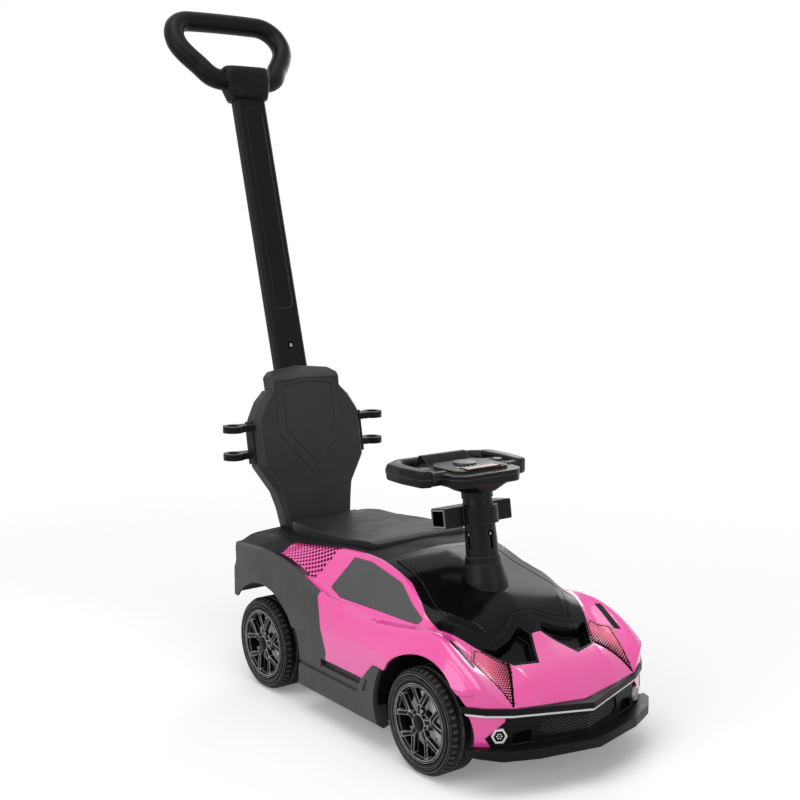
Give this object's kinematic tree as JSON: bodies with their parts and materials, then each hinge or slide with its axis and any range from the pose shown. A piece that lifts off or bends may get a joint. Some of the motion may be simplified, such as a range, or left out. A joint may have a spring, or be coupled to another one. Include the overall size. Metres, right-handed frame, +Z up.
{
  "type": "push car",
  "caption": "Child's ride-on push car with a sporty shell, steering wheel on a column, seat over a storage bin, backrest and a parent push handle.",
  "frame": {"origin": "on the floor, at the middle of the whole object's length and width", "axes": "+Z up, -Y towards the nose, +X towards the car's left side"},
  "size_m": [0.3042, 0.8289, 0.9193],
  "materials": {
    "pink": "glossy",
    "lamp_panel": "printed, glossy",
    "black_gloss": "glossy",
    "white_trim": "glossy",
    "grey_matte": "fine texture",
    "black_satin": "satin",
    "button_grey": "satin",
    "steel": "bright",
    "screw_chrome": "bright",
    "tyre_black": "matt",
    "rim_black": "satin gloss",
    "disc_silver": "metallic paint"
  },
  "bodies": {
    "body": {"front_fairing": "pink", "bumper_corners": "pink", "quarter_vents": "pink", "headlight_left": "lamp_panel", "headlight_right": "lamp_panel", "hood_panel": "black_gloss", "front_bumper": "black_gloss", "wing_slits": "black_gloss", "grille_mesh": "black_gloss", "light_strip": "white_trim", "fog_lamps": "white_trim", "side_window_left": "grey_matte", "side_window_right": "grey_matte", "rear_body": "grey_matte", "side_skirt_left": "grey_matte", "side_skirt_right": "grey_matte", "backrest_front": "grey_matte", "backrest_rear": "grey_matte", "guard_lugs_left": "grey_matte", "guard_lugs_right": "grey_matte", "push_pole": "black_satin", "grip_yoke": "black_satin", "grip_front": "black_satin", "grip_rear": "black_satin", "column_base": "black_satin", "steering_column": "black_satin", "guard_collar": "black_satin", "front_liners": "black_satin", "rear_liners": "black_satin", "chassis_tray": "black_satin", "storage_bin": "black_satin", "rear_axle": "steel", "seat_hinge_pin": "steel", "pole_screw": "screw_chrome", "column_screws": "screw_chrome"},
    "steering": {"steering_shaft": "steel", "steering_wheel_lower": "black_satin", "steering_wheel_upper": "black_satin"},
    "horn_button": {"horn_button": "button_grey"},
    "left_button": {"left_button": "button_grey"},
    "right_button": {"right_button": "button_grey"},
    "knuckle_left": {"knuckle_left": "black_satin"},
    "knuckle_right": {"knuckle_right": "black_satin"},
    "tie_rod": {"tie_rod": "black_satin"},
    "seat_lid": {"seat_lid": "grey_matte"},
    "wheel_front_left": {"tyre_front_left": "tyre_black", "rim_front_left": "rim_black", "disc_front_left": "disc_silver"},
    "wheel_front_right": {"tyre_front_right": "tyre_black", "rim_front_right": "rim_black", "disc_front_right": "disc_silver"},
    "wheel_rear_left": {"tyre_rear_left": "tyre_black", "rim_rear_left": "rim_black", "disc_rear_left": "disc_silver"},
    "wheel_rear_right": {"tyre_rear_right": "tyre_black", "rim_rear_right": "rim_black", "disc_rear_right": "disc_silver"}
  },
  "joints": [
    {"name": "steering_turn", "type": "hinge", "parent": "body", "child": "steering", "pos_m": [0, -0.21827, 0.18], "axis": [0, 0.1564, 0.9877], "range_deg": [-30, 30]},
    {"name": "horn_button_press", "type": "slide", "parent": "steering", "child": "horn_button", "axis": [0, 0, -1], "range_m": [0, 0.0025], "stiffness_N_per_m": 400},
    {"name": "left_button_press", "type": "slide", "parent": "steering", "child": "left_button", "axis": [0, 0, -1], "range_m": [0, 0.0025], "stiffness_N_per_m": 400},
    {"name": "right_button_press", "type": "slide", "parent": "steering", "child": "right_button", "axis": [0, 0, -1], "range_m": [0, 0.0025], "stiffness_N_per_m": 400},
    {"name": "knuckle_left_turn", "type": "hinge", "parent": "body", "child": "knuckle_left", "pos_m": [0.112, -0.27777, 0.06], "axis": [0, 0, 1], "range_deg": [-16.5, 16.5]},
    {"name": "knuckle_right_turn", "type": "hinge", "parent": "body", "child": "knuckle_right", "pos_m": [-0.112, -0.27777, 0.06], "axis": [0, 0, 1], "range_deg": [-16.5, 16.5]},
    {"name": "tie_rod_slide", "type": "slide", "parent": "body", "child": "tie_rod", "axis": [1, 0, 0], "range_m": [-0.0069, 0.0069]},
    {"name": "wheel_front_left_roll", "type": "hinge", "parent": "knuckle_left", "child": "wheel_front_left", "pos_m": [0.126, -0.27777, 0.06], "axis": [1, 0, 0], "continuous": true},
    {"name": "wheel_front_right_roll", "type": "hinge", "parent": "knuckle_right", "child": "wheel_front_right", "pos_m": [-0.126, -0.27777, 0.06], "axis": [1, 0, 0], "continuous": true},
    {"name": "wheel_rear_left_roll", "type": "hinge", "parent": "body", "child": "wheel_rear_left", "pos_m": [0.126, 0.05623, 0.06], "axis": [1, 0, 0], "continuous": true},
    {"name": "wheel_rear_right_roll", "type": "hinge", "parent": "body", "child": "wheel_rear_right", "pos_m": [-0.126, 0.05623, 0.06], "axis": [1, 0, 0], "continuous": true},
    {"name": "seat_lid_lift", "type": "hinge", "parent": "body", "child": "seat_lid", "pos_m": [0, 0.12323, 0.195], "axis": [-1, 0, 0], "range_deg": [0, 78]}
  ],
  "couplings": [
    {"joint": "knuckle_left_turn", "follows": "steering_turn", "ratio": 0.53333},
    {"joint": "knuckle_right_turn", "follows": "steering_turn", "ratio": 0.53333},
    {"joint": "tie_rod_slide", "follows": "steering_turn", "m_per_rad": -0.0128}
  ]
}
